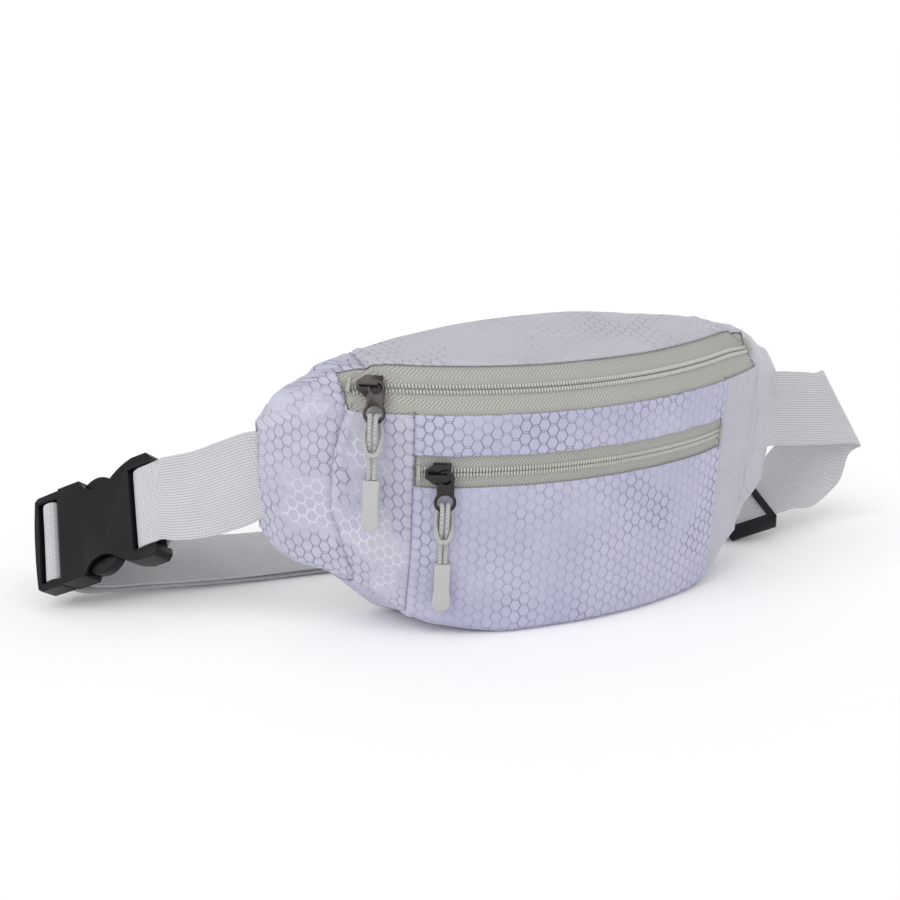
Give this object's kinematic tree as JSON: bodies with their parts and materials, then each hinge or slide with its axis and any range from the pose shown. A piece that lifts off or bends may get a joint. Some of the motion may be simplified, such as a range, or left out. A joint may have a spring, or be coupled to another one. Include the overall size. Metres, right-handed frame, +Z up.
{
  "type": "waist pack",
  "caption": "Fabric waist pack with a curved front, a long zip over the top front edge, a zipped front pocket, soft wings and an adjustable webbing belt with a side-release buckle.",
  "frame": {"origin": "on the floor under the bag's base, in the bag's middle plane", "axes": "+Z up, -Y out of the curved front, +X to the right seen from the front"},
  "size_m": [0.4139, 0.1625, 0.1301],
  "materials": {
    "shell_fabric": "matte honeycomb weave",
    "padding": "soft mesh over foam",
    "lining": "plain weave",
    "zip_tape": "herringbone tape",
    "zip_coil": "satin nylon coil",
    "zip_metal": "gunmetal satin",
    "pull_cord": "braided",
    "pull_rubber": "matte moulded",
    "webbing": "fine ribbed weave",
    "black_plastic": "fine matte grain"
  },
  "bodies": {
    "bag": {"back_panel": "shell_fabric", "top_panel": "shell_fabric", "strip_panel": "shell_fabric", "pocket_panel": "shell_fabric", "bottom_panel": "shell_fabric", "side_panel_left": "shell_fabric", "side_panel_right": "shell_fabric", "wing_left": "shell_fabric", "wing_right": "shell_fabric", "back_padding": "padding", "pocket_divider": "lining", "main_tape_lower": "zip_tape", "main_coil_lower": "zip_coil", "main_tape_upper": "zip_tape", "main_coil_upper": "zip_coil", "main_stops": "zip_metal", "pocket_tape_lower": "zip_tape", "pocket_coil_lower": "zip_coil", "pocket_tape_upper": "zip_tape", "pocket_coil_upper": "zip_coil", "pocket_stops": "zip_metal", "belt_left": "webbing", "belt_right": "webbing", "belt_long_outer": "webbing", "belt_long_inner": "webbing", "belt_male_loop": "webbing", "buckle_male": "black_plastic"},
    "main_slider": {"main_slider": "zip_metal"},
    "main_tab": {"main_tab": "zip_metal"},
    "main_pull": {"main_cord": "pull_cord", "main_grip": "pull_rubber"},
    "pocket_slider": {"pocket_slider": "zip_metal"},
    "pocket_tab": {"pocket_tab": "zip_metal"},
    "pocket_pull": {"pocket_cord": "pull_cord", "pocket_grip": "pull_rubber"},
    "buckle_female": {"buckle_female": "black_plastic", "belt_female_loop": "webbing"},
    "arm_upper": {"buckle_arm_upper": "black_plastic"},
    "arm_lower": {"buckle_arm_lower": "black_plastic"},
    "adjuster": {"triglide": "black_plastic", "belt_adjuster_loop": "webbing"}
  },
  "joints": [
    {"name": "main_zip_travel", "type": "hinge", "parent": "bag", "child": "main_slider", "pos_m": [0, 0.15528, 0.01495], "axis": [0, -0.0958, 0.9954], "range_deg": [0, 57.4]},
    {"name": "pocket_zip_travel", "type": "hinge", "parent": "bag", "child": "pocket_slider", "pos_m": [0, 0.15528, 0.01495], "axis": [0, -0.0958, 0.9954], "range_deg": [0, 40]},
    {"name": "main_tab_swing", "type": "hinge", "parent": "main_slider", "child": "main_tab", "pos_m": [-0.08995, -0.02531, 0.11414], "axis": [-0.3905, -0.7663, 0.5101], "range_deg": [-20, 20]},
    {"name": "pocket_tab_swing", "type": "hinge", "parent": "pocket_slider", "child": "pocket_tab", "pos_m": [-0.0656, -0.04005, 0.07651], "axis": [-0.3418, -0.9354, -0.0901], "range_deg": [-20, 20]},
    {"name": "main_pull_lift", "type": "hinge", "parent": "main_tab", "child": "main_pull", "pos_m": [-0.09428, -0.03236, 0.10033], "axis": [-0.8773, 0.4777, 0.046], "range_deg": [0, 80]},
    {"name": "pocket_pull_lift", "type": "hinge", "parent": "pocket_tab", "child": "pocket_pull", "pos_m": [-0.06543, -0.03862, 0.06048], "axis": [-0.9398, 0.3403, 0.0328], "range_deg": [0, 35]},
    {"name": "buckle_release", "type": "slide", "parent": "bag", "child": "buckle_female", "axis": [0.7073, -0.5862, 0.3951], "range_m": [0, 0.038], "deforming": ["belt_left", "buckle_arm_upper", "buckle_arm_lower"]},
    {"name": "arm_upper_press", "type": "hinge", "parent": "bag", "child": "arm_upper", "pos_m": [-0.1997, 0.08969, 0.03653], "axis": [0.6966, 0.4824, -0.5311], "range_deg": [0, 8], "stiffness_Nm_per_rad": 0.5},
    {"name": "arm_lower_press", "type": "hinge", "parent": "bag", "child": "arm_lower", "pos_m": [-0.20223, 0.07602, 0.02079], "axis": [-0.6966, -0.4824, 0.5311], "range_deg": [0, 8], "stiffness_Nm_per_rad": 0.5},
    {"name": "adjuster_travel", "type": "slide", "parent": "bag", "child": "adjuster", "axis": [0.96, -0.168, 0.224], "range_m": [-0.01, 0.01], "deforming": ["belt_long_inner"]}
  ],
  "couplings": [
    {"joint": "arm_lower_press", "follows": "arm_upper_press", "ratio": 1}
  ]
}
